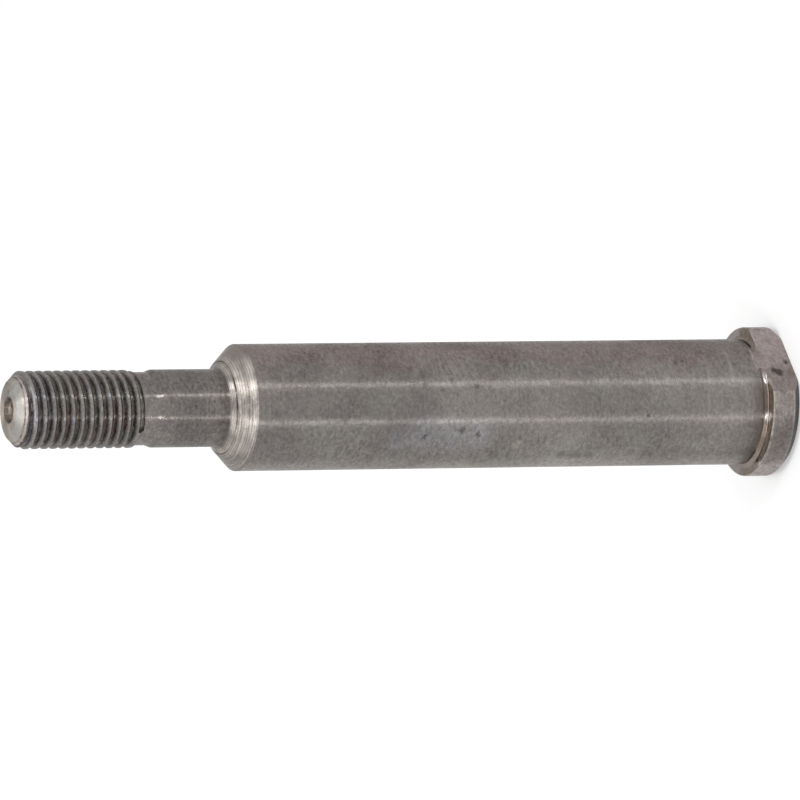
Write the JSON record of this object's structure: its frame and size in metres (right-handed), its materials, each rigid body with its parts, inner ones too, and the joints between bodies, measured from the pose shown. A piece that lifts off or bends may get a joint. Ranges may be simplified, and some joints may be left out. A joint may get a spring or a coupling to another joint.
{
  "type": "drawbar pin",
  "caption": "Turned steel drawbar pin: round head with one flat, long plain shank, chamfered shoulder, reduced neck and threaded end.",
  "frame": {"origin": "on the pin's axis, in the flat outer face of its head", "axes": "+Z along the axis from the head to the threaded end, +X out of the flat that is milled on the head"},
  "size_m": [0.035, 0.038, 0.2094],
  "materials": {
    "bare_steel": "oiled bare turned steel, mid grey with fine turning marks, small rust specks and a darker thread"
  },
  "bodies": {
    "root": {"drawbar_pin": "bare_steel"}
  },
  "joints": []
}
